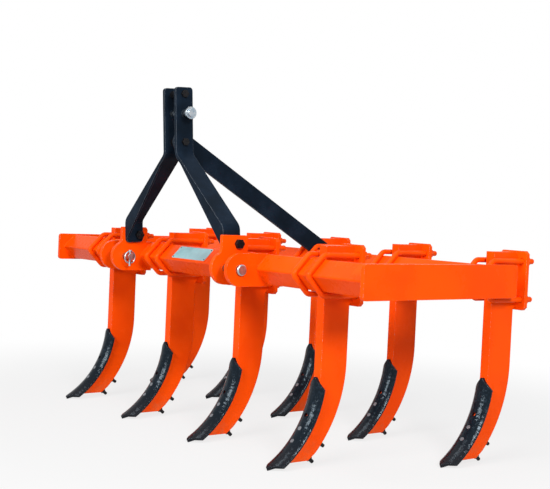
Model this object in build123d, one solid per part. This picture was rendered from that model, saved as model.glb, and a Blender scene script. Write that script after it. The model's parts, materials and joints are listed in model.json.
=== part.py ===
# Rigid tine cultivator for a tractor's three-point hitch, in millimetres.
# +X points to the machine's left, +Y to its rear, +Z up.
# The origin lies on the ground, midway across the machine and midway between
# its foremost and rearmost points. It stands on the tips of its shares.
from build123d import *
import math
import os

# Toolbars: square tube set on its corner, one in front and one behind
BAR_SIZE = 75.0
BAR_WALL = 6.0
BAR_CORNER_R = 6.0
BAR_OVERHANG = 64.0
BAR_SPACING = 531.0

# Side plates that close the frame
SIDE_PLATE_T = 14.0
SIDE_PLATE_HEIGHT = 109.0
SIDE_PLATE_OVERHANG = 22.0
SIDE_PLATE_CORNER_R = 12.0

# Tine shanks, measured from the centre of their toolbar
TINE_PITCH = 225.0
SHANK_T = 34.0
SHANK_DEPTH = 106.0
SHANK_FRONT = 24.0
SHANK_HEAD = 94.0
BEND_DROP = 309.0
BEND_R = 333.0
BACK_BEND_R = 415.0
BACK_BEND_DROP = 280.0
HEEL_BACK = -12.0
HEEL_CHAMFER_Z = 22.0
PAD_T = 10.0
PAD_DROP = 86.0

# Reversible shares, pointed at both ends
SHARE_WIDTH = 70.0
SHARE_T = 12.0
SHARE_EDGE_T = 5.0
SHARE_SWEEP = 11.0
SHARE_SEAT_CLEARANCE = 0.5
SHARE_START = 16.0
SHARE_LENGTH = 352.0
SHARE_PAST_FOOT = 39.052
SHARE_POINT = 38.0
SHARE_POINT_FLAT = 1.5
SHARE_HOLE_PITCH = 48.0
SHARE_HOLE_R = 7.5

# Share bolts, their heads sunk in the share
SHARE_BOLT_R = 6.0
SHARE_HEAD_R = 7.2
SHARE_HEAD_T = 6.0
SHARE_HEAD_SINK = 0.8
SHARE_BOLT_TAIL = 25.0

# U-bolts of round rod, two to a tine
ROD_R = 9.0
ROD_RISE = 64.0
ROD_SHANK_GAP = 10.5
ROD_SHOULDER_R = 25.0
ROD_SEAT_CLEARANCE = 0.1
ROD_TAIL = 38.0
ROD_NUT_AF = 27.0
ROD_NUT_T = 16.0

# Clamp plates behind the shank heads
CLAMP_PLATE_W = 114.0
CLAMP_PLATE_H = 198.0
CLAMP_PLATE_T = 14.0
CLAMP_PLATE_CHAMFER = 10.0
CLAMP_HOLE_CLEARANCE = 1.5

# Lower hitch ears on the front toolbar
HITCH_SPREAD = 752.0
EAR_GAP = 70.0
EAR_T = 15.0
EAR_NOSE_R = 55.0
EAR_REACH = 116.0
EAR_DROP = 3.0
LUG_FRONT = 132.0
LUG_BACK = 27.0
LUG_TOP = 108.0
LUG_CORNER_R = 4.0
LUG_ROOT_R = 18.0

# Lower hitch pins
PIN_R = 12.5
PIN_CLEARANCE = 0.05
LOWER_HEAD_R = 19.0
LOWER_HEAD_T = 12.0
LOWER_HEAD_ROUND = 5.0
LOWER_HEAD_PLAY = 0.3
LOWER_PIN_TAIL = 48.0

# Top-link pin
TOP_HEAD_R = 21.5
TOP_HEAD_T = 8.0
TOP_BOSS_R = 14.0
TOP_BOSS_T = 6.0
TOP_PIN_REACH = 36.0
TOP_PIN_TAIL = 22.0

# Linchpins with their spring rings
LINCH_R = 4.5
LINCH_ABOVE = 22.0
LINCH_BELOW = 36.0
LINCH_HEAD_R = 7.0
LINCH_HEAD_T = 5.0
LINCH_FROM_END = 12.0
LINCH_CLEARANCE = 0.2
RING_R = 22.0
RING_WIRE_R = 2.5
RING_DROP = 3.0

# Mast of two bent flats, drawn upright and then leant forward
FLAT_W = 70.0
FLAT_T = 12.0
MAST_GAP = 63.0
MAST_ABOVE_PIN = 92.0
MAST_BEND_BELOW_PIN = 145.0
MAST_FOOT = 52.0
MAST_FOOT_HEIGHT = 83.0
MAST_FRONT = 119.0
MAST_BEND_R = 30.0
MAST_CORNER_R = 12.0
MAST_LEAN = 3.6
WEB_T = 8.0
TOP_PIN_HEIGHT = 526.0

# Bolts at the mast's feet
FOOT_BOLT_BACK = 66.0
FOOT_BOLT_HEIGHT = 79.0
FOOT_BOLT_R = 10.0
FOOT_BOLT_AF = 30.0
FOOT_BOLT_HEAD_T = 12.5
FOOT_BOLT_TAIL = 6.0
BOLT_CLEARANCE = 0.5

# Bolts through the mast's head, one over the pin and one under it that holds the brace
HEAD_BOLT_ABOVE_PIN = 69.0
BRACE_BOLT_BELOW_PIN = 100.0
HEAD_BOLT_R = 8.0
HEAD_BOLT_AF = 24.0
HEAD_BOLT_HEAD_T = 10.0
HEAD_BOLT_TAIL = 5.0
SPACER_WALL = 5.0

# Brace from the mast down to the rear toolbar
BRACE_W = 70.0
BRACE_T = 10.0
BRACE_SHANK_GAP = 0.4
BRACE_END_SHORT = 4.0

# Sizes worked out from those above
outer_tine = 4
bar_length = 2 * (outer_tine * TINE_PITCH + BAR_OVERHANG)
bar_corner = BAR_SIZE / math.sqrt(2)
bar_ridge = bar_corner - BAR_CORNER_R * (math.sqrt(2) - 1)
bend_y = SHANK_FRONT - BEND_R
shank_back = SHANK_FRONT + SHANK_DEPTH
clamp_front = shank_back + PAD_T
clamp_back = clamp_front + CLAMP_PLATE_T
rod_x = SHANK_T / 2 + ROD_SHANK_GAP + ROD_R
rod_end = clamp_back + ROD_TAIL
ear_inner = HITCH_SPREAD / 2 - EAR_GAP / 2 - EAR_T
ear_outer = HITCH_SPREAD / 2 + EAR_GAP / 2 + EAR_T
head_out = MAST_GAP / 2 + FLAT_T
head_y = FLAT_W / 2 - MAST_FRONT
mast_top = TOP_PIN_HEIGHT + MAST_ABOVE_PIN
upper_bend = TOP_PIN_HEIGHT - MAST_BEND_BELOW_PIN
lower_bend = MAST_FOOT + MAST_FOOT_HEIGHT
brace_bolt_height = TOP_PIN_HEIGHT - BRACE_BOLT_BELOW_PIN
head_bolt_height = TOP_PIN_HEIGHT + HEAD_BOLT_ABOVE_PIN
lower_end = ear_inner - LOWER_PIN_TAIL
top_end = head_out + TOP_PIN_TAIL
brace_x = SHANK_T / 2 + BRACE_SHANK_GAP + BRACE_T / 2


def run_point(distance):
    """Place (y, z) and slope on the shank's front bend, by distance down from its start."""
    angle = distance / BEND_R
    return bend_y + BEND_R * math.cos(angle), -BEND_DROP - BEND_R * math.sin(angle), angle


share_end = SHARE_START + SHARE_LENGTH
share_middle = SHARE_START + SHARE_LENGTH / 2
share_holes = (share_middle - SHARE_HOLE_PITCH, share_middle, share_middle + SHARE_HOLE_PITCH)
bar_height = -run_point(share_end)[1]
front_y = (EAR_REACH + EAR_NOSE_R - BAR_SPACING - rod_end) / 2
front_bar = Pos(0, front_y, bar_height)
rear_bar = Pos(0, front_y + BAR_SPACING, bar_height)

# Tines: name, pitches from the middle, toolbar that carries them
TINES = (
    ("front_1", 3, front_bar),
    ("front_2", 1, front_bar),
    ("front_3", -1, front_bar),
    ("front_4", -3, front_bar),
    ("rear_1", outer_tine, rear_bar),
    ("rear_2", 2, rear_bar),
    ("rear_3", 0, rear_bar),
    ("rear_4", -2, rear_bar),
    ("rear_5", -outer_tine, rear_bar),
)

# Sides of the machine, seen from behind: name, sign of X
SIDES = (("left", 1), ("right", -1))


def slab(outline, x, thickness):
    """Plate with a Y-Z outline, its middle at x."""
    middle = Plane(origin=(x, 0, 0), x_dir=(0, 1, 0), z_dir=(1, 0, 0))
    return extrude(middle * outline, amount=thickness / 2, both=True)


def along_x(outline, x_from, x_to):
    """Bar along X with a Y-Z outline, from one X to another."""
    return slab(outline, (x_from + x_to) / 2, abs(x_to - x_from))


def hexagon(across_flats):
    """Outline of a nut or bolt head."""
    return RegularPolygon(across_flats / math.sqrt(3), 6)


def toolbar():
    """Square tube turned onto its corner, open inside."""
    bore = BAR_SIZE - 2 * BAR_WALL
    outline = RectangleRounded(BAR_SIZE, BAR_SIZE, BAR_CORNER_R) - Rectangle(bore, bore)
    return slab(Rot(0, 0, 45) * outline, 0, bar_length)


def side_plate(side):
    """Flat plate across the ends of both toolbars."""
    length = BAR_SPACING + 2 * (bar_ridge + SIDE_PLATE_OVERHANG)
    outline = RectangleRounded(length, SIDE_PLATE_HEIGHT, SIDE_PLATE_CORNER_R)
    return slab(Pos(BAR_SPACING / 2, 0) * outline, side * (bar_length + SIDE_PLATE_T) / 2, SIDE_PLATE_T)


def shank():
    """Tine shank: a straight head with a V seat for the bar, then a bend forward to the foot."""
    bend_length = share_end - SHARE_PAST_FOOT
    toe_y, toe_z, _ = run_point(bend_length)
    middle_y, middle_z, _ = run_point(bend_length / 2)
    heel_z = HEEL_CHAMFER_Z + toe_z
    back_centre = shank_back - BACK_BEND_R
    turn = math.asin((-BACK_BEND_DROP - heel_z) / BACK_BEND_R)
    back_mid_y = back_centre + BACK_BEND_R * math.cos(turn / 2)
    back_mid_z = -BACK_BEND_DROP - BACK_BEND_R * math.sin(turn / 2)
    heel_y = back_centre + BACK_BEND_R * math.cos(turn)
    seat_z = bar_corner - SHANK_FRONT
    head = Polyline(
        (clamp_front, SHANK_HEAD),
        (SHANK_FRONT, SHANK_HEAD),
        (SHANK_FRONT, seat_z),
        (bar_corner, 0),
        (SHANK_FRONT, -seat_z),
        (SHANK_FRONT, -BEND_DROP),
    )
    front = ThreePointArc((SHANK_FRONT, -BEND_DROP), (middle_y, middle_z), (toe_y, toe_z))
    foot = Polyline((toe_y, toe_z), (HEEL_BACK, toe_z), (heel_y, heel_z))
    back = ThreePointArc((heel_y, heel_z), (back_mid_y, back_mid_z), (shank_back, -BACK_BEND_DROP))
    pad = Polyline(
        (shank_back, -BACK_BEND_DROP),
        (shank_back, -PAD_DROP - PAD_T),
        (clamp_front, -PAD_DROP),
        (clamp_front, SHANK_HEAD),
    )
    body = slab(make_face(head + front + foot + back + pad), 0, SHANK_T)
    for hole in share_holes[1:]:
        body -= share_rod(hole, SHARE_BOLT_R + BOLT_CLEARANCE, -2 * SHANK_DEPTH, SHARE_T)
    return body


def share_face(distance, height=0.0):
    """Plane over the share's seat at that height, facing out of its front."""
    y, z, angle = run_point(distance)
    out = (0, -math.cos(angle), math.sin(angle))
    return Plane(origin=(0, y + height * out[1], z + height * out[2]), x_dir=(1, 0, 0), z_dir=out)


def share_rod(distance, radius, low, high):
    """Round bar square to the share's face, between two heights over its seat."""
    return extrude(share_face(distance, low) * Circle(radius), amount=high - low)


def share_section(distance):
    """Section of the share at that place: flat on the shank, wings swept back, crowned front."""
    y, z, angle = run_point(distance)
    half = SHARE_WIDTH / 2
    seat = SHANK_T / 2 + SHARE_SEAT_CLEARANCE
    edge = SHARE_EDGE_T - SHARE_SWEEP
    back = Polyline(
        (-half, edge),
        (-half, -SHARE_SWEEP),
        (-seat, 0),
        (seat, 0),
        (half, -SHARE_SWEEP),
        (half, edge),
    )
    crown = ThreePointArc((half, edge), (0, SHARE_T), (-half, edge))
    down = (0, -math.sin(angle), -math.cos(angle))
    return Plane(origin=(0, y, z), x_dir=(1, 0, 0), z_dir=down) * make_face(back + crown)


def share():
    """Share bent to the shank's front, with a point at each end and three holes."""
    bend_axis = Axis((0, bend_y, -BEND_DROP), (-1, 0, 0))
    turn = math.degrees(SHARE_LENGTH / BEND_R)
    body = revolve(share_section(SHARE_START), axis=bend_axis, revolution_arc=turn)
    half = SHARE_WIDTH / 2
    for distance, outward in ((SHARE_START, 1), (share_end, -1)):
        for side in (-1, 1):
            corner = Polyline(
                (side * SHARE_POINT_FLAT, 0),
                (side * half, -outward * SHARE_POINT),
                (side * SHARE_WIDTH, -outward * SHARE_POINT),
                (side * SHARE_WIDTH, outward * SHARE_POINT),
                (side * SHARE_POINT_FLAT, outward * SHARE_POINT),
                close=True,
            )
            body -= extrude(share_face(distance) * make_face(corner), amount=SHARE_WIDTH, both=True)
    for hole in share_holes:
        body -= share_rod(hole, SHARE_HOLE_R, -SHARE_T, 2 * SHARE_T)
    return body


def through_shank(distance):
    """Depth of the shank along a share bolt, from the share's seat to the curved back."""
    y, z, angle = run_point(distance)
    away_y = y - (shank_back - BACK_BEND_R)
    away_z = z + BACK_BEND_DROP
    along = away_y * math.cos(angle) - away_z * math.sin(angle)
    return math.sqrt(along**2 - away_y**2 - away_z**2 + BACK_BEND_R**2) - along


def share_bolt(distance):
    """Bolt with its round head sunk in the share and its tail behind the shank."""
    top = SHARE_T - SHARE_HEAD_SINK
    tail = -through_shank(distance) - SHARE_BOLT_TAIL
    body = share_rod(distance, SHARE_BOLT_R, tail, top)
    return body + share_rod(distance, SHARE_HEAD_R, top - SHARE_HEAD_T, top)


def ubolt(x):
    """U-bolt bent round the toolbar's front corner, with its two nuts."""
    apex = (BAR_SIZE / 2 + ROD_R + ROD_SEAT_CLEARANCE) * math.sqrt(2)
    nose_r = BAR_CORNER_R + ROD_R + ROD_SEAT_CLEARANCE
    shoulder = apex - ROD_RISE
    path = FilletPolyline(
        (x, rod_end, ROD_RISE),
        (x, -shoulder, ROD_RISE),
        (x, -apex, 0),
        (x, -shoulder, -ROD_RISE),
        (x, rod_end, -ROD_RISE),
        radius=[ROD_SHOULDER_R, nose_r, ROD_SHOULDER_R],
    )
    end = Plane(origin=(x, rod_end, ROD_RISE), x_dir=(1, 0, 0), z_dir=(0, -1, 0))
    body = sweep(end * Circle(ROD_R), path=path)
    for z in (ROD_RISE, -ROD_RISE):
        seat = Plane(origin=(x, clamp_back, z), x_dir=(1, 0, 0), z_dir=(0, 1, 0))
        body += extrude(seat * hexagon(ROD_NUT_AF), amount=ROD_NUT_T)
    return body


def clamp_plate():
    """Plate behind the shank that the U-bolts draw up."""
    blank = Rectangle(CLAMP_PLATE_W, CLAMP_PLATE_H)
    outline = chamfer(blank.vertices(), CLAMP_PLATE_CHAMFER)
    for x in (-rod_x, rod_x):
        for z in (-ROD_RISE, ROD_RISE):
            outline -= Pos(x, z) * Circle(ROD_R + CLAMP_HOLE_CLEARANCE)
    back = Plane(origin=(0, clamp_back, 0), x_dir=(1, 0, 0), z_dir=(0, -1, 0))
    return extrude(back * outline, amount=CLAMP_PLATE_T)


def ear(x, with_lug):
    """Hitch ear: round nose about the pin, cut to the toolbar behind, some with the mast's lug."""
    pin = Pos(-EAR_REACH, -EAR_DROP)
    arm = Pos(-EAR_REACH / 2, -EAR_DROP) * Rectangle(EAR_REACH, 2 * EAR_NOSE_R)
    outline = pin * Circle(EAR_NOSE_R) + arm
    if with_lug:
        lug = Pos(-(LUG_FRONT + LUG_BACK) / 2, LUG_TOP / 2) * Rectangle(LUG_FRONT - LUG_BACK, LUG_TOP)
        outline += fillet(lug.vertices().sort_by(Axis.Y)[-2:], LUG_CORNER_R)
        root_z = math.sqrt(EAR_NOSE_R**2 - (LUG_FRONT - EAR_REACH) ** 2) - EAR_DROP
        root = outline.vertices().sort_by_distance((-LUG_FRONT, root_z, 0))[0]
        outline = fillet(root, LUG_ROOT_R)
        outline -= Pos(-FOOT_BOLT_BACK, FOOT_BOLT_HEIGHT) * Circle(FOOT_BOLT_R + BOLT_CLEARANCE)
    outline -= Rot(0, 0, 45) * Rectangle(BAR_SIZE, BAR_SIZE)
    outline -= pin * Circle(PIN_R + PIN_CLEARANCE)
    return slab(outline, x, EAR_T)


def lower_pin(side):
    """Lower hitch pin, headed outside, cross-drilled for its linchpin."""
    axis = Pos(-EAR_REACH, -EAR_DROP)
    head = ear_outer + LOWER_HEAD_PLAY
    body = along_x(axis * Circle(PIN_R), side * lower_end, side * head)
    cap = along_x(axis * Circle(LOWER_HEAD_R), side * head, side * (head + LOWER_HEAD_T))
    rim = max(cap.edges().filter_by(GeomType.CIRCLE), key=lambda edge: side * edge.center().X)
    body += fillet(rim, LOWER_HEAD_ROUND)
    cross = Cylinder(LINCH_R + LINCH_CLEARANCE, 4 * PIN_R)
    return body - Pos(side * (lower_end + LINCH_FROM_END), -EAR_REACH, -EAR_DROP) * cross


def linchpin():
    """Linchpin about the origin: a headed pin and the spring ring round the hitch pin."""
    middle = (LINCH_ABOVE - LINCH_BELOW) / 2
    body = Pos(0, 0, middle) * Cylinder(LINCH_R, LINCH_ABOVE + LINCH_BELOW)
    body += Pos(0, 0, LINCH_ABOVE) * Cylinder(LINCH_HEAD_R, LINCH_HEAD_T)
    return body + Pos(0, 0, -RING_DROP) * Rot(0, 90, 0) * Torus(RING_R, RING_WIRE_R)


def lean(shape):
    """Tip a mast piece forward about the foot bolts."""
    return shape.rotate(Axis((0, -FOOT_BOLT_BACK, FOOT_BOLT_HEIGHT), (1, 0, 0)), MAST_LEAN)


def mast_leg(side):
    """Bent flat with its web: foot against the lug, run up inwards, upright head."""
    foot_x = side * (ear_inner - FLAT_T / 2)
    head_x = side * (head_out - FLAT_T / 2)
    line = FilletPolyline(
        (foot_x, MAST_FOOT, 0),
        (foot_x, lower_bend, 0),
        (head_x, upper_bend, 0),
        (head_x, mast_top, 0),
        radius=MAST_BEND_R,
    )
    front = Plane(origin=(0, -MAST_FRONT, 0), x_dir=(1, 0, 0), z_dir=(0, -1, 0))
    body = extrude(front * trace(line, FLAT_T), amount=-FLAT_W)
    across = body.edges().filter_by(Axis.X).sort_by(Axis.Z)
    body = fillet(across[:2] + across[-2:], MAST_CORNER_R)
    reach = side * head_out * 2
    pin_hole = Pos(head_y, TOP_PIN_HEIGHT) * Circle(PIN_R + PIN_CLEARANCE)
    body -= along_x(pin_hole, 0, reach)
    for height in (brace_bolt_height, head_bolt_height):
        body -= along_x(Pos(head_y, height) * Circle(HEAD_BOLT_R + BOLT_CLEARANCE), 0, reach)
    bolt = Pos(-FOOT_BOLT_BACK, FOOT_BOLT_HEIGHT) * Circle(FOOT_BOLT_R + BOLT_CLEARANCE)
    body -= along_x(bolt, side * (ear_inner - 2 * FLAT_T), side * ear_inner)
    web = Polyline(
        (head_x, upper_bend, 0),
        (foot_x, lower_bend, 0),
        (foot_x, MAST_FOOT + MAST_CORNER_R, 0),
        close=True,
    )
    body += extrude(front * make_face(web), amount=-WEB_T)
    return lean(body)


def foot_bolt(side):
    """Bolt through the lug and the mast's foot, its head outside."""
    place = Pos(-FOOT_BOLT_BACK, FOOT_BOLT_HEIGHT)
    seat = side * (ear_inner + EAR_T)
    inside = side * (ear_inner - FLAT_T)
    nut = inside - side * FOOT_BOLT_HEAD_T
    body = along_x(place * Circle(FOOT_BOLT_R), nut - side * FOOT_BOLT_TAIL, seat)
    body += along_x(place * hexagon(FOOT_BOLT_AF), seat, seat + side * FOOT_BOLT_HEAD_T)
    return body + along_x(place * hexagon(FOOT_BOLT_AF), nut, inside)


def top_pin():
    """Top-link pin through the mast's head, its collar on the left."""
    place = Pos(*leant(head_y, TOP_PIN_HEIGHT))
    collar = head_out + TOP_PIN_REACH
    boss = collar + TOP_HEAD_T
    body = along_x(place * Circle(PIN_R), -top_end, collar)
    body += along_x(place * Circle(TOP_HEAD_R), collar, boss)
    body += along_x(place * Circle(TOP_BOSS_R), boss, boss + TOP_BOSS_T)
    cross = Cylinder(LINCH_R + LINCH_CLEARANCE, 4 * PIN_R)
    return body - Pos(LINCH_FROM_END - top_end, *leant(head_y, TOP_PIN_HEIGHT)) * cross


def leant(y, z):
    """Where a place on the upright mast goes once it leans."""
    turn = math.radians(MAST_LEAN)
    back = y + FOOT_BOLT_BACK
    up = z - FOOT_BOLT_HEIGHT
    new_y = back * math.cos(turn) - up * math.sin(turn) - FOOT_BOLT_BACK
    return new_y, back * math.sin(turn) + up * math.cos(turn) + FOOT_BOLT_HEIGHT


def brace():
    """Flat on edge from the mast, its lower end seated over the rear toolbar's corner."""
    bolt_y, bolt_z = leant(head_y, brace_bolt_height)
    run = BAR_SPACING + bar_corner - BRACE_END_SHORT - bolt_y
    far = math.hypot(run, bolt_z)
    slope = math.atan2(bolt_z, run) - math.asin(BRACE_W / 2 / far)
    length = math.sqrt(far**2 - BRACE_W**2 / 4)
    place = Pos(bolt_y, bolt_z)
    strip = Pos(length / 2, 0) * Rectangle(length, BRACE_W)
    outline = place * Circle(BRACE_W / 2)
    outline += place * Rot(0, 0, -math.degrees(slope)) * strip
    outline -= place * Circle(HEAD_BOLT_R + BOLT_CLEARANCE)
    outline -= Pos(BAR_SPACING, 0) * Rot(0, 0, 45) * Rectangle(BAR_SIZE, BAR_SIZE)
    return slab(outline, brace_x, BRACE_T)


def head_bolt(height):
    """Bolt through both plates of the mast's head at that height on the upright mast."""
    place = Pos(*leant(head_y, height))
    nut = head_out + HEAD_BOLT_HEAD_T
    body = along_x(place * Circle(HEAD_BOLT_R), -nut - HEAD_BOLT_TAIL, head_out)
    body += along_x(place * hexagon(HEAD_BOLT_AF), head_out, nut)
    return body + along_x(place * hexagon(HEAD_BOLT_AF), -nut, -head_out)


def spacer(height, x_from, x_to):
    """Tube round a head bolt, between two places along it."""
    bore = HEAD_BOLT_R + BOLT_CLEARANCE
    ring = Circle(bore + SPACER_WALL) - Circle(bore)
    return along_x(Pos(*leant(head_y, height)) * ring, x_from, x_to)


def brace_spacers():
    """Tube and washer that hold the brace between the mast's plates."""
    long_one = spacer(brace_bolt_height, -MAST_GAP / 2, brace_x - BRACE_T / 2)
    return [long_one, spacer(brace_bolt_height, brace_x + BRACE_T / 2, MAST_GAP / 2)]


def build():
    """Every node of the machine by name, each in its place."""
    nodes = {}
    nodes["front_toolbar"] = front_bar * toolbar()
    nodes["rear_toolbar"] = rear_bar * toolbar()
    blade = share()
    leg = shank()
    plate = clamp_plate()
    bolts = [share_bolt(hole) for hole in share_holes[1:]]
    clamps = [ubolt(-rod_x), ubolt(rod_x)]
    rows = {"front": [], "rear": []}
    for name, pitches, bar in TINES:
        place = bar * Pos(pitches * TINE_PITCH, 0, 0)
        nodes[f"shank_{name}"] = place * leg
        nodes[f"share_{name}"] = place * blade
        nodes[f"clamp_plate_{name}"] = place * plate
        nodes[f"u_bolts_{name}"] = Compound(children=[place * clamp for clamp in clamps])
        rows[name.split("_")[0]] += [place * bolt for bolt in bolts]
    for row, row_bolts in rows.items():
        nodes[f"share_bolts_{row}"] = Compound(children=row_bolts)
    for name, side in SIDES:
        nodes[f"side_plate_{name}"] = front_bar * side_plate(side)
        nodes[f"hitch_ear_inner_{name}"] = front_bar * ear(side * (ear_inner + EAR_T / 2), True)
        nodes[f"hitch_ear_outer_{name}"] = front_bar * ear(side * (ear_outer - EAR_T / 2), False)
        nodes[f"lower_pin_{name}"] = front_bar * lower_pin(side)
        linch_place = Pos(side * (lower_end + LINCH_FROM_END), -EAR_REACH, -EAR_DROP)
        nodes[f"lower_linchpin_{name}"] = front_bar * linch_place * linchpin()
        nodes[f"mast_leg_{name}"] = front_bar * mast_leg(side)
    nodes["mast_foot_bolts"] = Compound(children=[front_bar * foot_bolt(side) for _, side in SIDES])
    nodes["top_link_pin"] = front_bar * top_pin()
    top_linch = Pos(LINCH_FROM_END - top_end, *leant(head_y, TOP_PIN_HEIGHT))
    nodes["top_linchpin"] = front_bar * top_linch * linchpin()
    nodes["brace"] = front_bar * brace()
    nodes["brace_bolt"] = front_bar * head_bolt(brace_bolt_height)
    nodes["brace_spacers"] = Compound(children=[front_bar * tube for tube in brace_spacers()])
    nodes["mast_head_bolt"] = front_bar * head_bolt(head_bolt_height)
    nodes["mast_head_spacer"] = front_bar * spacer(head_bolt_height, -MAST_GAP / 2, MAST_GAP / 2)
    return nodes


os.makedirs("parts", exist_ok=True)
for node_name, node_shape in build().items():
    export_step(node_shape, f"parts/{node_name}.step")
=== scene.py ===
# %% [markdown]
# Rigid tine cultivator. A tractor carries this machine on its three-point
# hitch and draws its nine curved tines through the soil. The steel frame is
# already there as solids, so this lesson gives it paint, bright pins, weld
# beads, threads, nuts and a data plate, and then a floor, lamps and a camera.

import json
import math

import bpy
import numpy as np
from mathutils import Matrix, Vector


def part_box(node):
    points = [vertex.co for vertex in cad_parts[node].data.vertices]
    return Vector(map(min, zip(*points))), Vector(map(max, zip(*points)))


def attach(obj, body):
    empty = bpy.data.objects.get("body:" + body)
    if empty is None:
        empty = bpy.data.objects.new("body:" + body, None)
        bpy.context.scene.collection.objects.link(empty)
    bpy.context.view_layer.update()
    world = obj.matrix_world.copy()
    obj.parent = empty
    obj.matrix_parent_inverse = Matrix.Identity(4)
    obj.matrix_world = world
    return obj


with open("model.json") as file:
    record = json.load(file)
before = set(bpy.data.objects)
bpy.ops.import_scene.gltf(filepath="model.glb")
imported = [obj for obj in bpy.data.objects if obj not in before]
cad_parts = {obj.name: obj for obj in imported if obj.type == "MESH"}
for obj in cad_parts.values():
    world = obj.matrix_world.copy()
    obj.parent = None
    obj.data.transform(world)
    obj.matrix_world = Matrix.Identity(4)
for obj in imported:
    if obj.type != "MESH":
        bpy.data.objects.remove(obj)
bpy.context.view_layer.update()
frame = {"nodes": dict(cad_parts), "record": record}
BODY = "implement"
MM = 0.001

# %% [markdown]
# Shader arithmetic. The look of painted steel is a sum of causes: the paint,
# the wear on its arrises, the soil on its feet. Such a sum could be built in
# the node editor, one node at a time, but it would be long and hard to read.
# Here one small class wraps a socket, so that the sum reads as it would on
# paper: an operator adds its Math node. Only plain values are reckoned so.
# Colours are mixed, because a Math node would turn them grey. Any other node
# comes from one method, which takes its type, its settings and its sockets.


# %% Shader arithmetic
class Wire:
    """The output of a shader node, with arithmetic."""

    def __init__(self, socket):
        self.socket = socket
        self.tree = socket.id_data

    @classmethod
    def node(cls, tree, kind, settings=None, sockets=None, out=0):
        """Any shader node: its type, its settings, and its sockets' values or wires."""
        made = tree.nodes.new("ShaderNode" + kind)
        for name, value in (settings or {}).items():
            setattr(made, name, value)
        for name, value in (sockets or {}).items():
            if isinstance(value, Wire):
                tree.links.new(value.socket, made.inputs[name])
            else:
                made.inputs[name].default_value = value
        return cls(made.outputs[out])

    def add(self, kind, settings=None, sockets=None, out=0):
        """A node in the same tree."""
        return Wire.node(self.tree, kind, settings, sockets, out)

    def maths(self, operation, first, second):
        """A Math node on two sides, each a wire or a number."""
        return self.add("Math", {"operation": operation}, {0: first, 1: second})

    def __add__(self, other):
        return self.maths("ADD", self, other)

    def __sub__(self, other):
        return self.maths("SUBTRACT", self, other)

    def __rsub__(self, other):
        return self.maths("SUBTRACT", other, self)

    def __mul__(self, other):
        return self.maths("MULTIPLY", self, other)

    __radd__ = __add__
    __rmul__ = __mul__

    def step(self, low, high):
        """0 below low, 1 above high, and smooth between; low may be the larger."""
        sockets = {"Value": self, "From Min": low, "From Max": high}
        return self.add("MapRange", {"interpolation_type": "SMOOTHSTEP"}, sockets)

    def noise(self, scale, detail=3.0, roughness=0.55):
        """Noise on this wire's coordinates, with scale in waves a metre."""
        sockets = {"Vector": self, "Scale": scale, "Detail": detail, "Roughness": roughness}
        return self.add("TexNoise", None, sockets, "Fac")

    def cells(self, scale):
        """Distance to the nearest of scattered points, with scale in cells a metre."""
        return self.add("TexVoronoi", None, {"Vector": self, "Scale": scale}, "Distance")

    def blend(self, first, second):
        """Mixes two colours by this wire, from 0 to 1. A Mix node set to colours
        takes them at its inputs 6 and 7, and gives the mix at its output 2."""
        sockets = {0: self, 6: first, 7: second}
        return self.add("Mix", {"data_type": "RGBA", "clamp_factor": True}, sockets, 2)

    def part(self, letter):
        """One coordinate of a vector."""
        return self.add("SeparateXYZ", None, {0: self}, letter)


# %% [markdown]
# What the finishes share. All of them read the place on the piece in metres,
# so a grain has the same size on a pin as on a toolbar. The arrises of real
# plate are broken by a millimetre or two, and catch the light as a thin line.
# A Bevel modifier could round them, but it would change the solids' meshes,
# so the shader's own Bevel node rounds the normal alone. Where that normal
# leans away from the true one there is an arris, which also gives a mask for
# worn paint and for the highlight that some finishes paint along the arrises.

# %% Parts of every finish
BEVEL_SAMPLES = 6
EDGE_STARTS = 0.015
EDGE_IS_FULL = 0.16


def new_tree(name):
    """An empty material and its tree."""
    material = bpy.data.materials.new(name)
    material.use_nodes = True
    material.node_tree.nodes.clear()
    return material, material.node_tree


def finish_surface(material, sockets):
    """Ends a material in a Principled shader with those sockets."""
    tree = material.node_tree
    shader = Wire.node(tree, "BsdfPrincipled", None, sockets)
    output = tree.nodes.new("ShaderNodeOutputMaterial")
    tree.links.new(shader.socket, output.inputs["Surface"])
    print("material:", material.name)
    return material


def soft_edges(tree, radius):
    """A normal rounded over that radius, and an edge mask: one less the
    cosine between the rounded normal and the true one, stepped from 0 to 1."""
    rounded = Wire.node(tree, "Bevel", {"samples": BEVEL_SAMPLES}, {"Radius": radius})
    true = Wire.node(tree, "NewGeometry", None, None, "Normal")
    normals = {0: rounded, 1: true}
    cosine = rounded.add("VectorMath", {"operation": "DOT_PRODUCT"}, normals, "Value")
    return rounded, (1.0 - cosine).step(EDGE_STARTS, EDGE_IS_FULL)


def bumped(normal, height, depth):
    """Tilts a normal by a height field, where a height of 1 is that deep, in metres."""
    return normal.add("Bump", None, {"Height": height, "Distance": depth, "Normal": normal})


def place(tree):
    """The point on the piece, in metres, in the machine's own frame."""
    return Wire.node(tree, "TexCoord", None, None, "Object")


# %% [markdown]
# Orange enamel. The frame is sprayed in a hard gloss orange over everything,
# nuts and rods too. One flat orange would do for a toy, but on this machine
# it looks like plastic. So the tone drifts a little over a hand's width, the
# spray leaves a fine orange peel that breaks up the gloss, the arrises carry
# a painted highlight in a paler orange, a few chips show the metal there, and
# the feet of the shanks carry a breath of soil.

# %% Orange enamel
ORANGE_DEEP = (0.87, 0.064, 0.001, 1)
ORANGE_FULL = (0.94, 0.080, 0.001, 1)
ORANGE_ARRIS_HIGHLIGHT = (1.0, 0.13, 0.012, 1)
CHIPPED_STEEL = (0.42, 0.40, 0.38, 1)
DRY_SOIL = (0.30, 0.17, 0.075, 1)
ORANGE_ARRIS_R = 2.2 * MM
ORANGE_PEEL_DEPTH = 0.08 * MM


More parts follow.
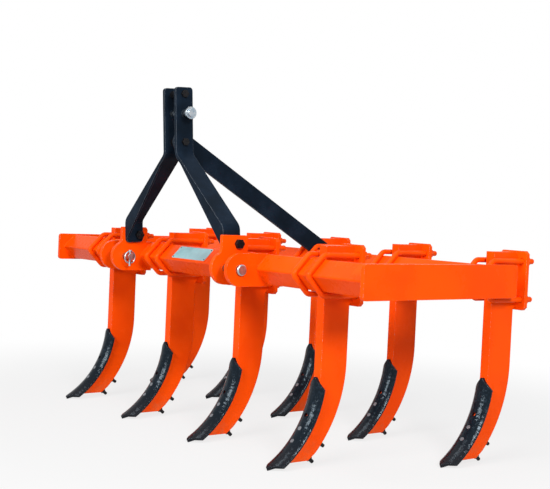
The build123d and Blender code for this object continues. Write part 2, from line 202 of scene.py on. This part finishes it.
def make_orange():
    """Slow noise moves the tone and the gloss, coarse noise breaks chips and
    soil into patches, and fine noise is the orange peel."""
    material, tree = new_tree("orange_enamel")
    where = place(tree)
    rounded, edge = soft_edges(tree, ORANGE_ARRIS_R)
    slow = where.noise(scale=6.0, detail=2.0)
    peel = where.noise(scale=520.0, detail=2.0)
    scuff = where.noise(scale=38.0, detail=6.0, roughness=0.7)
    colour = slow.step(0.3, 0.7).blend(ORANGE_DEEP, ORANGE_FULL)
    # Painted highlight: the arrises are blended towards a paler orange.
    colour = (edge * 0.4).blend(colour, ORANGE_ARRIS_HIGHLIGHT)
    chips = (edge + scuff * 0.25).step(1.02, 1.1) * where.cells(scale=160.0).step(0.42, 0.3)
    colour = chips.blend(colour, CHIPPED_STEEL)
    soil = where.part("Z").step(0.11, 0.012) * scuff.step(0.35, 0.7) * 0.35
    colour = soil.blend(colour, DRY_SOIL)
    rough = slow * 0.08 + scuff * 0.05 + soil * 0.5 + 0.21
    return finish_surface(material, {
        "Base Color": colour,
        "Roughness": rough,
        "Normal": bumped(rounded, peel * 0.4 + scuff * 0.1, ORANGE_PEEL_DEPTH),
        "Specular IOR Level": 0.06,
    })


ORANGE = make_orange()

# %% [markdown]
# Black enamel. The mast and its brace are painted in a satin black with a
# cold, bluish cast. Pure black would swallow their folds, so the tone is a
# very dark blue. The paint lies over mill scale, which mottles its gloss, and
# a painted highlight draws a thin grey line along its arrises.

# %% Black enamel
BLACK_DEEP = (0.004, 0.008, 0.014, 1)
BLACK_FULL = (0.007, 0.014, 0.026, 1)
BLACK_ARRIS_HIGHLIGHT = (0.17, 0.19, 0.21, 1)
BLACK_RUBBED = (0.03, 0.045, 0.065, 1)
BLACK_ARRIS_R = 2.0 * MM
MILL_SCALE_DEPTH = 0.35 * MM


def make_black():
    """Slow noise moves the tone, the mill scale's noise moves the gloss and
    the height, and where both are high the paint is rubbed."""
    material, tree = new_tree("black_enamel")
    where = place(tree)
    rounded, edge = soft_edges(tree, BLACK_ARRIS_R)
    scale = where.noise(scale=210.0, detail=4.0, roughness=0.65)
    slow = where.noise(scale=11.0, detail=3.0)
    colour = slow.step(0.3, 0.75).blend(BLACK_DEEP, BLACK_FULL)
    # Painted highlight: a thin grey line along the arrises.
    colour = (edge * 0.8).blend(colour, BLACK_ARRIS_HIGHLIGHT)
    rub = (scale * slow * 2.0).step(0.62, 0.72) * 0.12
    colour = rub.blend(colour, BLACK_RUBBED)
    return finish_surface(material, {
        "Base Color": colour,
        "Roughness": scale * 0.22 + 0.28,
        "Normal": bumped(rounded, scale, MILL_SCALE_DEPTH),
        "Specular IOR Level": 0.03,
    })


BLACK = make_black()

# %% [markdown]
# Share black. The shares are forged, then dipped in gloss black. The hammer
# leaves shallow dimples, which turn one highlight into many small ones. They
# could be cut into the mesh, but they are too shallow to change its outline,
# so a bump does. The paint is whole. Pale bluish patches up the share are dust
# and painted sheen, the arrises have a painted highlight, and the points are
# faintly brown with soil.

# %% Share black
SHARE_DEEP = (0.003, 0.006, 0.010, 1)
SHARE_DUST_AND_SHEEN = (0.050, 0.080, 0.115, 1)
SHARE_SOILED = (0.030, 0.017, 0.014, 1)
SHARE_ARRIS_HIGHLIGHT = (0.075, 0.085, 0.10, 1)
SHARE_ARRIS_R = 1.8 * MM
DIMPLE_DEPTH = 1.5 * MM
COLD_SHEEN = (0.72, 0.88, 1.0, 1)


def make_share_black():
    """Coarse noise is the dimples and fine noise the grit. Pale patches of dust
    and painted sheen grow with height over the ground, and soil grows towards it."""
    material, tree = new_tree("share_black")
    where = place(tree)
    rounded, edge = soft_edges(tree, SHARE_ARRIS_R)
    dimple = where.noise(scale=85.0, detail=2.0, roughness=0.5)
    grit = where.noise(scale=420.0, detail=3.0, roughness=0.7)
    patches = where.noise(scale=90.0, detail=5.0, roughness=0.75)
    # Pale bluish patches on the upper share: partly dust, partly a painted sheen.
    dust_and_sheen = patches.step(0.48, 0.72) * where.part("Z").step(0.06, 0.2)
    colour = (dust_and_sheen * 0.25).blend(SHARE_DEEP, SHARE_DUST_AND_SHEEN)
    soil = where.part("Z").step(0.11, 0.02) * grit.step(0.3, 0.7) * 0.4
    colour = soil.blend(colour, SHARE_SOILED)
    # Painted highlight: a thin light line along the arrises.
    colour = (edge * 0.45).blend(colour, SHARE_ARRIS_HIGHLIGHT)
    return finish_surface(material, {
        "Base Color": colour,
        "Roughness": dust_and_sheen * 0.08 + grit * 0.05 + soil * 0.3 + 0.08,
        "Normal": bumped(rounded, dimple + grit * 0.1, DIMPLE_DEPTH),
        "Specular IOR Level": 0.16,
        "Specular Tint": COLD_SHEEN,
    })


SHARE_BLACK = make_share_black()

# %% [markdown]
# Bright steel. Hitch pins, linchpins and share bolts are zinc plated, a
# blue-white metal. The hitch pins were turned on a lathe, so fine marks ring
# them. A texture could be laid round each pin, but they all lie along the X
# axis, so noise that reads X alone draws the same rings. The share bolts,
# low down, are duller and greyer than the pins.

# %% Bright steel
ZINC_DULL = (0.30, 0.38, 0.45, 1)
ZINC_FULL = (0.50, 0.53, 0.55, 1)
ZINC_ARRIS = (0.72, 0.76, 0.80, 1)
ZINC_LOW_DOWN = (0.22, 0.23, 0.25, 1)
ZINC_ARRIS_R = 0.9 * MM
TURNING_WAVES = 1900.0
TURNING_DEPTH = 0.06 * MM


def make_bright():
    """Haze moves the tint and the gloss of a metal, and noise of the X
    coordinate alone gives the turning marks."""
    material, tree = new_tree("bright_steel")
    where = place(tree)
    rounded, edge = soft_edges(tree, ZINC_ARRIS_R)
    haze = where.noise(scale=75.0, detail=4.0)
    along_pin = {"W": where.part("X"), "Scale": TURNING_WAVES}
    lines = where.add("TexNoise", {"noise_dimensions": "1D"}, along_pin, "Fac")
    colour = haze.step(0.35, 0.7).blend(ZINC_DULL, ZINC_FULL)
    colour = edge.blend(colour, ZINC_ARRIS)
    low_down = where.part("Z").step(0.45, 0.35)
    colour = low_down.blend(colour, ZINC_LOW_DOWN)
    return finish_surface(material, {
        "Base Color": colour,
        "Metallic": 1.0,
        "Roughness": haze * 0.22 + low_down * 0.15 + 0.20,
        "Normal": bumped(rounded, lines * 0.7 + haze * 0.5, TURNING_DEPTH),
    })


BRIGHT = make_bright()

# %% [markdown]
# Black oxide. The bolts at the mast's feet and in the brace are blackened
# high-tensile bolts, oily, with their corners worn to a warm grey. The skin is
# too thin to hide the steel's shape, so it needs little more than a dark
# tone, a haze in the gloss and the pale corners.

# %% Black oxide bolts
OXIDE_DEEP = (0.003, 0.003, 0.004, 1)
OXIDE_FULL = (0.009, 0.009, 0.010, 1)
OXIDE_CORNER = (0.07, 0.065, 0.06, 1)
OXIDE_CORNER_R = 1.2 * MM
OXIDE_DEPTH = 0.15 * MM


def make_oxide():
    """One noise moves the tone, the gloss and the height of a dark skin."""
    material, tree = new_tree("black_oxide")
    where = place(tree)
    rounded, edge = soft_edges(tree, OXIDE_CORNER_R)
    haze = where.noise(scale=130.0, detail=4.0)
    colour = haze.step(0.3, 0.7).blend(OXIDE_DEEP, OXIDE_FULL)
    colour = (edge * 0.5).blend(colour, OXIDE_CORNER)
    return finish_surface(material, {
        "Base Color": colour,
        "Roughness": haze * 0.2 + 0.10,
        "Normal": bumped(rounded, haze, OXIDE_DEPTH),
        "Specular IOR Level": 0.15,
    })


OXIDE = make_oxide()

# %% [markdown]
# Dress the solids. Each solid could be given its paint by its own line, but
# each one already names its finish in the record. Assigning by that name
# dresses all the solids in one loop, and a new solid gets its paint by itself.

# %% Dress the solids
FINISHES = {
    "orange_paint": ORANGE,
    "black_paint": BLACK,
    "black_share": SHARE_BLACK,
    "bright_steel": BRIGHT,
    "black_bolts": OXIDE,
}
for solid in frame["record"]["subparts"]:
    mesh = frame["nodes"][solid["node"]].data
    mesh.materials.clear()
    mesh.materials.append(FINISHES[solid["material_slot"]])

# %% [markdown]
# Places. Beads, threads and rivets have their seats on the solids. Their
# places could be typed in, but they are read from the solids' boxes instead,
# so each piece lands on its seat. The toolbars' boxes give the line of each
# bar, and the shanks' boxes give the middle of each tine. A toolbar is a
# square tube that stands on its corner. Its side is typed in, because the
# tube's corners are round and its box falls short of the full diagonal.


# %% Places read from the solids
def middle(node):
    """Centre of a node's box, as an array."""
    low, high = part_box(node)
    return (np.array(low) + np.array(high)) / 2


FRONT_BAR = middle("front_toolbar")
REAR_BAR = middle("rear_toolbar")
BAR_SIDE = 75 * MM
BAR_CORNER = BAR_SIDE / math.sqrt(2)
TINES = {
    f"{row}_{number}": (middle(f"shank_{row}_{number}")[0], bar)
    for row, count, bar in (("front", 4, FRONT_BAR), ("rear", 5, REAR_BAR))
    for number in range(1, count + 1)
}
print("tines across, mm:", [round(x / MM) for x, _ in TINES.values()])

# %% [markdown]
# Grids to meshes. Every new piece is a closed skin: beads and threads are
# tubes, a nut is a stack of rings, a rivet is a dome. Each could be built
# from Blender's primitives, but one grid of points serves them all, with one
# parameter along the piece and one round it, and is worked out as whole
# arrays. The helpers below join such grids into one mesh, close their ends
# with caps, and number each face's points so that it faces outwards.

# %% Grids to meshes
SHARP_ANGLE = math.radians(40)


def grid_faces(rows, columns, start):
    """Faces of a tube of rows by columns, whose first point is number start.
    A quad joins each point to its next column and its next row, the last
    column joins the first, and a cap closes the first and the last row."""
    row, column = np.meshgrid(np.arange(rows - 1), np.arange(columns), indexing="ij")
    after = (column + 1) % columns
    here, above = row * columns, (row + 1) * columns
    quads = np.stack([here + column, here + after, above + after, above + column], axis=-1)
    ring = np.arange(columns)
    caps = [ring[::-1], ring + (rows - 1) * columns]
    return (quads.reshape(-1, 4) + start).tolist() + [(cap + start).tolist() for cap in caps]


def skin(name, grids):
    """One mesh object from several grids of points, each rows by columns by 3."""
    faces = []
    start = 0
    for grid in grids:
        rows, columns = grid.shape[:2]
        faces += grid_faces(rows, columns, start)
        start += rows * columns
    points = np.concatenate([grid.reshape(-1, 3) for grid in grids])
    mesh = bpy.data.meshes.new(name)
    mesh.from_pydata(points.tolist(), [], faces)
    mesh.shade_smooth()
    mesh.set_sharp_from_angle(angle=SHARP_ANGLE)
    piece = bpy.data.objects.new(name, mesh)
    bpy.context.scene.collection.objects.link(piece)
    return piece


def round_angles(columns):
    """Even steps of a whole turn, as one row."""
    return np.linspace(0, 2 * np.pi, columns, endpoint=False)[None, :]


def axes_along(direction):
    """Three unit vectors square to each other, the first along a direction."""
    along = np.asarray(direction, float) / np.linalg.norm(direction)
    helper = np.array([1.0, 0, 0]) if abs(along[0]) < 0.9 else np.array([0, 1.0, 0])
    side = np.cross(along, helper)
    side /= np.linalg.norm(side)
    return along, side, np.cross(along, side)


def turned(start, direction, lengths, radii, angles):
    """Skin round a straight axis: each point lies at its length along the
    axis and at its radius from it, turned by its angle."""
    along, side, up = axes_along(direction)
    lengths, radii, angles = np.broadcast_arrays(lengths, radii, angles)
    round_part = np.cos(angles)[..., None] * side + np.sin(angles)[..., None] * up
    return np.asarray(start) + lengths[..., None] * along + radii[..., None] * round_part


def fit_piece(piece, material):
    """Gives a new piece its material and the body it rides on."""
    piece.data.materials.append(material)
    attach(piece, BODY)
    triangles = sum(len(face.vertices) - 2 for face in piece.data.polygons)
    print(piece.name, triangles, "triangles")


# %% [markdown]
# Weld beads. The ears are welded to the front toolbar and the side plates to
# the toolbars' ends. A hand-laid bead is a row of overlapping drops. A row of
# balls would show that, but their skins would cut through each other, so the
# bead is one tube along the seam whose radius rises and falls with the drops
# and narrows to a point at both ends.

# %% Weld beads
BEAD_R = 3.2 * MM
BEAD_DROP = 5.0 * MM
BEAD_LOW = 0.86
BEAD_RISE = 0.22
BEAD_POINT = 0.02
BEAD_COLUMNS = 10
BEAD_ROWS_A_DROP = 4
EAR_BEAD_INSET = 7.0 * MM
PLATE_BEAD_INSET = 0.5 * MM


def bead(start, end):
    """Tube from start to end. Its radius is the bead's, times its low part
    plus its rise by a rectified sine with one hump a drop, times the root of
    the distance to the nearer end in bead radii, where that is under 1."""
    start, end = np.asarray(start, float), np.asarray(end, float)
    length = np.linalg.norm(end - start)
    rows = int(length / BEAD_DROP * BEAD_ROWS_A_DROP)
    t = np.linspace(0.0, 1.0, rows)[:, None]
    drops = BEAD_LOW + BEAD_RISE * np.abs(np.sin(np.pi * t * length / BEAD_DROP))
    ends = np.sqrt(np.clip(np.minimum(t, 1 - t) * length / BEAD_R, BEAD_POINT, 1.0))
    radii = BEAD_R * drops * ends
    return turned(start, end - start, t * length, radii, round_angles(BEAD_COLUMNS))


def ear_beads():
    """Two beads on each face of each ear, along the toolbar's two front faces.
    There, a point's height above or below the bar's middle is as large as its
    distance behind the bar's front corner."""
    beads = []
    rises = (EAR_BEAD_INSET, BAR_CORNER - EAR_BEAD_INSET)
    for side in ("left", "right"):
        for ear in ("inner", "outer"):
            low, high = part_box(f"hitch_ear_{ear}_{side}")
            for x in (low.x, high.x):
                for way in (1, -1):
                    ends = [(0, rise - BAR_CORNER, way * rise) for rise in rises]
                    near, far = (FRONT_BAR + end for end in ends)
                    near[0] = far[0] = x
                    beads.append(bead(near, far))
    return beads


def plate_beads():
    """Four beads round each end of each toolbar, on the side plate's inner face."""
    beads = []
    corner = BAR_CORNER - PLATE_BEAD_INSET
    corners = ((0, 1), (1, 0), (0, -1), (-1, 0))
    for bar in (FRONT_BAR, REAR_BAR):
        for side in ("left", "right"):
            low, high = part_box(f"side_plate_{side}")
            x = low.x if side == "left" else high.x
            ring = [(x, bar[1] + y * corner, bar[2] + z * corner) for y, z in corners]
            beads += [bead(ring[n], ring[(n + 1) % 4]) for n in range(4)]
    return beads


fit_piece(skin("ear_welds", ear_beads()), ORANGE)
fit_piece(skin("side_plate_welds", plate_beads()), ORANGE)

# %% [markdown]
# Threads. The U-bolts' tails stick out behind their nuts and show the thread
# there. A bump could fake it, but the thread shows in the rod's outline, so
# it is a real screw surface: its radius depends on the length along the axis
# less the turn times the pitch, which gives a right-hand thread. The crest
# stands just proud of the solid rod, under the paint.

# %% U-bolt threads
ROD_R = 9.0 * MM
ROD_X = 36.5 * MM
ROD_RISE = 64.0 * MM
NUT_BACK = 170.0 * MM
THREAD_PITCH = 2.5 * MM
THREAD_HEIGHT = 0.55 * MM
THREAD_ROOT = 0.1
THREAD_COLUMNS = 16
THREAD_ROWS_A_PITCH = 4


def thread(start, direction, length, radius):
    """Screw surface. The radius is the rod's plus the thread's height times
    the sum of a small root and a triangle wave of the length less the turn,
    in pitches. The height fades out over the first and the last pitch."""
    rows = int(length / THREAD_PITCH * THREAD_ROWS_A_PITCH) + 1
    along = np.linspace(0.0, length, rows)[:, None]
    angle = round_angles(THREAD_COLUMNS)
    phase = (along / THREAD_PITCH - angle / (2 * np.pi)) % 1.0
    wave = 1.0 - 2.0 * np.abs(phase - 0.5)
    ends = np.clip(np.minimum(along, length - along) / THREAD_PITCH, 0.0, 1.0)
    radii = radius + THREAD_HEIGHT * (THREAD_ROOT + wave) * ends
    return turned(start, direction, along, radii, angle)


def clamp_threads(x, bar):
    """The four tails of one tine's two U-bolts."""
    rod_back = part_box("u_bolts_rear_1")[1].y - REAR_BAR[1]
    tails = []
    for across in (-ROD_X, ROD_X):
        for up in (-ROD_RISE, ROD_RISE):
            start = (x + across, bar[1] + NUT_BACK, bar[2] + up)
            tails.append(thread(start, (0, 1, 0), rod_back - NUT_BACK, ROD_R))
    return tails


for name, (x, bar) in TINES.items():
    fit_piece(skin(f"threads_{name}", clamp_threads(x, bar)), ORANGE)

# %% [markdown]
# Share nuts. Behind each shank two nuts draw the share's bolts tight. A nut
# could be a six-sided prism, but a real one has its corners cut by a cone.
# As a skin round the bolt's axis it needs no cutting: its radius is the
# smaller of the hexagon's and the cone's, at each angle and height.

# %% Share nuts
SHARE_NUT_FLAT = 9.5 * MM
SHARE_NUT_T = 8.0 * MM
NUT_COLUMNS = 48
NUT_LEVELS = (0.0, 0.0, 0.12, 0.88, 1.0, 1.0)
NUT_CONE = 1.7


def hex_nut(start, direction, flat, height, hole):
    """Nut round an axis. The hexagon's radius is its flat over the cosine of
    the angle from the nearest flat's middle. The cone's is the flat at both
    ends, and more by the cone's slope times the distance from them. The first
    and the last ring are the hole."""
    angle = round_angles(NUT_COLUMNS)
    hexagon = flat / np.cos((angle % (np.pi / 3)) - np.pi / 6)
    levels = np.array(NUT_LEVELS)[:, None]
    cone = flat + np.minimum(levels, 1 - levels) * height * NUT_CONE
    radius = np.minimum(hexagon, cone)
    radius[[0, -1]] = hole
    return turned(start, direction, levels * height, radius, angle)


# %% [markdown]
# Share bolts' tails. The shank and the share are bent about one centre, and
# every share bolt points at it. A bolt's slope is thus its distance along the
# bend over the bend's radius. Where its tail ends depends on the shank's back,
# so that is measured on the solid bolt and not worked out again.

# %% Nuts and threads on the share bolts
SHARE_BOLT_R = 6.0 * MM
SHARE_BOLT_REACH = 8.0 * MM
SHARE_TAIL = 25.0 * MM
NUT_SINK = 0.5 * MM
THREAD_UNDER_NUT = 1.0 * MM
BEND_CENTRE = np.array([0.0, -309.0, -309.0]) * MM
BEND_R = 333.0 * MM
BOLTS_ALONG_BEND = (192.0 * MM, 240.0 * MM)


def share_tails(row):
    """End and direction of each share bolt's tail in a row: the bolt's point
    that lies farthest from the centre of the shank's bend."""
    mesh = frame["nodes"][f"share_bolts_{row}"].data
    points = np.empty(len(mesh.vertices) * 3)
    mesh.vertices.foreach_get("co", points)
    points = points.reshape(-1, 3)
    tails = []
    for name, (x, bar) in TINES.items():
        if not name.startswith(row):
            continue
        centre = BEND_CENTRE + [x, bar[1], bar[2]]
        for distance in BOLTS_ALONG_BEND:
            slope = distance / BEND_R
            outward = np.array([0, math.cos(slope), -math.sin(slope)])
            away = points - centre
            depth = away @ outward
            off_axis = np.linalg.norm(away - depth[:, None] * outward, axis=1)
            own = off_axis < SHARE_BOLT_REACH
            tails.append((centre + outward * depth[own].max(), outward))
    return tails


for row in ("front", "rear"):
    tails = share_tails(row)
    nut_seat = SHARE_TAIL - NUT_SINK
    bare = SHARE_TAIL - SHARE_NUT_T - THREAD_UNDER_NUT
    nuts = [
        hex_nut(end - along * nut_seat, along, SHARE_NUT_FLAT, SHARE_NUT_T, SHARE_BOLT_R)
        for end, along in tails
    ]
    screws = [thread(end - along * bare, along, bare, SHARE_BOLT_R) for end, along in tails]
    fit_piece(skin(f"share_nuts_{row}", nuts + screws), OXIDE)

# %% [markdown]
# Data plate. A pale metal plate is riveted to the front toolbar's upper face
# between the hitch ears. It is left blank. A bevelled box could do, but a
# pressed plate has round corners and a raised rim. So its skin is a stack of
# outlines, each a rectangle with round corners: out at the edge, up, in over
# the rim, and down to the panel.

# %% Data plate
PLATE_HALF = (106.5 * MM, 29.0 * MM)
PLATE_CORNER_R = 4.0 * MM
PLATE_X = 1.5 * MM
PLATE_COLUMNS = 28
PLATE_LEVELS = ((0.0, -0.2), (0.0, 0.8), (0.3, 1.1), (1.8, 1.1), (2.2, 0.8))
FACE_ACROSS = np.array([1.0, 0.0, 0.0])
FACE_UP = np.array([0.0, 1.0, 1.0]) / math.sqrt(2)
FACE_OUT = np.array([0.0, -1.0, 1.0]) / math.sqrt(2)
FACE_MIDDLE = FRONT_BAR + FACE_OUT * BAR_SIDE / 2 + FACE_ACROSS * PLATE_X


def on_face(x, y, height):
    """Points on the toolbar's face, from their places across, up and out of it."""
    flat = FACE_MIDDLE + x[..., None] * FACE_ACROSS + y[..., None] * FACE_UP
    return flat + height[..., None] * FACE_OUT


def data_plate():
    """Rounded rectangle at each level, given as an inset and a height in mm.
    A point is its corner's centre plus the corner's radius, less the inset,
    turned by the angle. The height lifts it off the toolbar's face."""
    angle = (np.arange(PLATE_COLUMNS) + 0.5) / PLATE_COLUMNS * 2 * np.pi
    corner_x = np.sign(np.cos(angle)) * (PLATE_HALF[0] - PLATE_CORNER_R)
    corner_y = np.sign(np.sin(angle)) * (PLATE_HALF[1] - PLATE_CORNER_R)
    inset, height = (np.array(PLATE_LEVELS) * MM).T[:, :, None]
    x = corner_x + (PLATE_CORNER_R - inset) * np.cos(angle)
    y = corner_y + (PLATE_CORNER_R - inset) * np.sin(angle)
    return on_face(x, y, height)


# %% [markdown]
# Plate metal and rivets. The plate is coated aluminium: pale, faintly green
# and half matt, and not a bare metal, which would mirror the white studio. A
# rivet is a dome, so a quarter of a circle, squashed and turned round its
# axis, gives it in one line.

# %% Plate metal and rivets
PLATE_DULL = (0.27, 0.47, 0.51, 1)
PLATE_FULL = (0.35, 0.56, 0.60, 1)
PLATE_RIM = (0.70, 0.76, 0.80, 1)
PLATE_RIM_R = 0.5 * MM
PLATE_GRAIN_DEPTH = 0.03 * MM
RIVET_INSET = 6.5 * MM
RIVET_R = 2.8 * MM
RIVET_SQUASH = 0.6
RIVET_SEAT = 0.6 * MM
RIVET_TOP = 0.48 * np.pi
RIVET_RINGS = 8
RIVET_COLUMNS = 20


def make_plate_metal():
    """Slow haze moves the tint and the gloss, and fine noise is the grain."""
    material, tree = new_tree("plate_metal")
    where = place(tree)
    rounded, edge = soft_edges(tree, PLATE_RIM_R)
    haze = where.noise(scale=30.0, detail=3.0)
    colour = haze.step(0.3, 0.7).blend(PLATE_DULL, PLATE_FULL)
    colour = (edge * 0.6).blend(colour, PLATE_RIM)
    grain = where.noise(scale=700.0, detail=2.0)
    return finish_surface(material, {
        "Base Color": colour,
        "Metallic": 0.2,
        "Roughness": haze * 0.2 + 0.28,
        "Normal": bumped(rounded, grain, PLATE_GRAIN_DEPTH),
    })


def plate_rivets():
    """Four domes: the radius is the cosine of the rise and the height its
    squashed sine, from the seat almost to the pole, where a cap closes it."""
    rise = np.linspace(0.0, RIVET_TOP, RIVET_RINGS)[:, None]
    lengths, radii = np.sin(rise) * RIVET_R * RIVET_SQUASH, np.cos(rise) * RIVET_R
    domes = []
    for across in (-1, 1):
        for up in (-1, 1):
            seat = FACE_MIDDLE + FACE_ACROSS * across * (PLATE_HALF[0] - RIVET_INSET)
            seat = seat + FACE_UP * up * (PLATE_HALF[1] - RIVET_INSET) + FACE_OUT * RIVET_SEAT
            domes.append(turned(seat, FACE_OUT, lengths, radii, round_angles(RIVET_COLUMNS)))
    return domes


plate = skin("data_plate", [data_plate()])
plate.data.materials.append(make_plate_metal())
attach(plate, BODY)
print("data plate, mm:", [round(2 * side / MM) for side in PLATE_HALF])
fit_piece(skin("data_plate_rivets", plate_rivets()), OXIDE)

# %% [markdown]
# Floor. The machine stands on a pale floor, whose edge should not show. More
# light would turn it white, but would bleach the paint too. So the floor is a
# matt plane that keeps the shadow under the tines, mixed with pure white for
# the rays that see it directly, and more so towards the horizon.

# %% Floor
FLOOR_SIDE = 60.0
FLOOR_WHITE = 0.5
FADE_FROM, FADE_TO = 0.9, 2.6
SHADOW_SOFTENING = 0.78
WHITE = (1, 1, 1, 1)


def seen_directly(tree):
    """1 for rays from the camera, from gloss or through glass, else 0."""
    kinds = ("Camera", "Glossy", "Transmission")
    rays = [Wire.node(tree, "LightPath", None, None, f"Is {kind} Ray") for kind in kinds]
    return rays[0].maths("MAXIMUM", rays[0], rays[1].maths("MAXIMUM", rays[1], rays[2]))


def join_shaders(tree, factor, first, second, output):
    """Mixes two shaders by a factor, into the tree's output."""
    mixed = Wire.node(tree, "MixShader", None, {0: factor, 1: first, 2: second})
    tree.links.new(mixed.socket, tree.nodes.new(output).inputs["Surface"])


def make_floor():
    """Matt white, mixed with pure white by the distance from the machine."""
    material, tree = new_tree("studio_floor")
    where = place(tree)
    distance = where.add("VectorMath", {"operation": "LENGTH"}, {0: where}, "Value")
    fade = distance.step(FADE_FROM, FADE_TO)
    whiteness = fade * (1.0 - SHADOW_SOFTENING) + SHADOW_SOFTENING
    matt = Wire.node(tree, "BsdfDiffuse", None, {"Color": (FLOOR_WHITE,) * 3 + (1,)})
    white = Wire.node(tree, "Emission", None, {"Color": WHITE, "Strength": 1.0})
    factor = seen_directly(tree) * whiteness
    join_shaders(tree, factor, matt, white, "ShaderNodeOutputMaterial")
    return material


half = FLOOR_SIDE / 2
floor_corners = [(-half, -half, 0), (half, -half, 0), (half, half, 0), (-half, half, 0)]
floor_mesh = bpy.data.meshes.new("floor")
floor_mesh.from_pydata(floor_corners, [], [(0, 1, 2, 3)])
floor_mesh.materials.append(make_floor())
floor = bpy.data.objects.new("floor", floor_mesh)
bpy.context.scene.collection.objects.link(floor)
print("floor side, m:", FLOOR_SIDE)

# %% [markdown]
# Backdrop. A studio has white walls all round. A white world would stand for
# them, but at full strength it would also wash out every shadow. So the
# camera, and any gloss that mirrors the surroundings, sees white, while the
# matt surfaces get only an even, weaker fill.

# %% Backdrop
FILL_COLOUR = (0.96, 0.98, 1.0, 1)
WORLD_FILL = 0.28

world = bpy.data.worlds.new("studio")
world.use_nodes = True
air = world.node_tree
air.nodes.clear()
fill = Wire.node(air, "Background", None, {"Color": FILL_COLOUR, "Strength": WORLD_FILL})
white = Wire.node(air, "Background", None, {"Color": WHITE, "Strength": 1.0})
join_shaders(air, seen_directly(air), fill, white, "ShaderNodeOutputWorld")
bpy.context.scene.world = world
print("world fill:", WORLD_FILL)

# %% [markdown]
# Lamps. Three soft lamps light the machine. The side lamp is the smallest, so
# the side plate's shadow shows on the tines behind it. The front lamp is a
# wide strip, which the shares mirror near their top holes, and it lights the
# toolbars' upper faces more than their lower ones. The top lamp is large and
# weak. Watts say little until one knows how far the lamp stands, so a lamp's
# level is given as the light it returns from a white card that faces it. The
# power is that level times the square of pi times the distance.


# %% Lamps
def soft_lamp(name, at, aim, width, height, level):
    """Flat lamp facing a point. Power is level times (pi times distance) squared."""
    at, aim = Vector(at), Vector(aim)
    facing = (aim - at).to_track_quat("-Z", "Y").to_matrix().to_4x4()
    data = bpy.data.lights.new(name, "AREA")
    data.shape = "RECTANGLE"
    data.size = width
    data.size_y = height
    data.energy = level * (math.pi * (aim - at).length) ** 2
    lamp = bpy.data.objects.new(name, data)
    lamp.matrix_world = Matrix.Translation(at) @ facing
    bpy.context.scene.collection.objects.link(lamp)
    print(name, "W:", round(data.energy))


TARGET = (0.0, 0.0, 0.5)
soft_lamp("side_lamp", (5.2, -1.6, 3.0), TARGET, width=1.3, height=1.3, level=0.62)
soft_lamp("front_lamp", (1.6, -5.2, 3.0), TARGET, width=2.8, height=1.3, level=0.78)
soft_lamp("top_lamp", (1.0, -1.5, 6.5), TARGET, width=2.4, height=2.4, level=0.28)

# %% [markdown]
# Camera. The camera stands in front of the machine's left end, a little above
# its toolbars, and looks almost level. It could be aimed at a target, but its
# place and three angles were found by fitting the machine's measured corners
# to the photograph, so they are used as they are. The Standard view shows a
# colour as it is written, where others would fade the orange.

# %% Camera
CAMERA_AT = Vector((3.3354, -2.4961, 0.8102))
CAMERA_YAW = math.radians(52.39)
CAMERA_PITCH = math.radians(-2.25)
CAMERA_ROLL = math.radians(2.59)
CAMERA_SHIFT = (0.001, 0.0128)
SENSOR_WIDTH = 36.0
LENS = 71.92

ahead = Vector((-math.sin(CAMERA_YAW), math.cos(CAMERA_YAW), 0)) * math.cos(CAMERA_PITCH)
ahead.z = math.sin(CAMERA_PITCH)
level_right = Vector((math.cos(CAMERA_YAW), math.sin(CAMERA_YAW), 0))
level_up = level_right.cross(ahead)
right = level_right * math.cos(CAMERA_ROLL) + level_up * math.sin(CAMERA_ROLL)
up = level_up * math.cos(CAMERA_ROLL) - level_right * math.sin(CAMERA_ROLL)
axes = Matrix((right, up, -ahead)).transposed().to_4x4()
camera_data = bpy.data.cameras.new("camera")
camera_data.sensor_fit = "HORIZONTAL"
camera_data.sensor_width = SENSOR_WIDTH
camera_data.lens = LENS
camera_data.shift_x, camera_data.shift_y = CAMERA_SHIFT
camera = bpy.data.objects.new("camera", camera_data)
camera.matrix_world = Matrix.Translation(CAMERA_AT) @ axes
bpy.context.scene.collection.objects.link(camera)
bpy.context.scene.camera = camera
bpy.context.scene.view_settings.view_transform = "Standard"
print("camera looks along", [round(c, 3) for c in ahead])
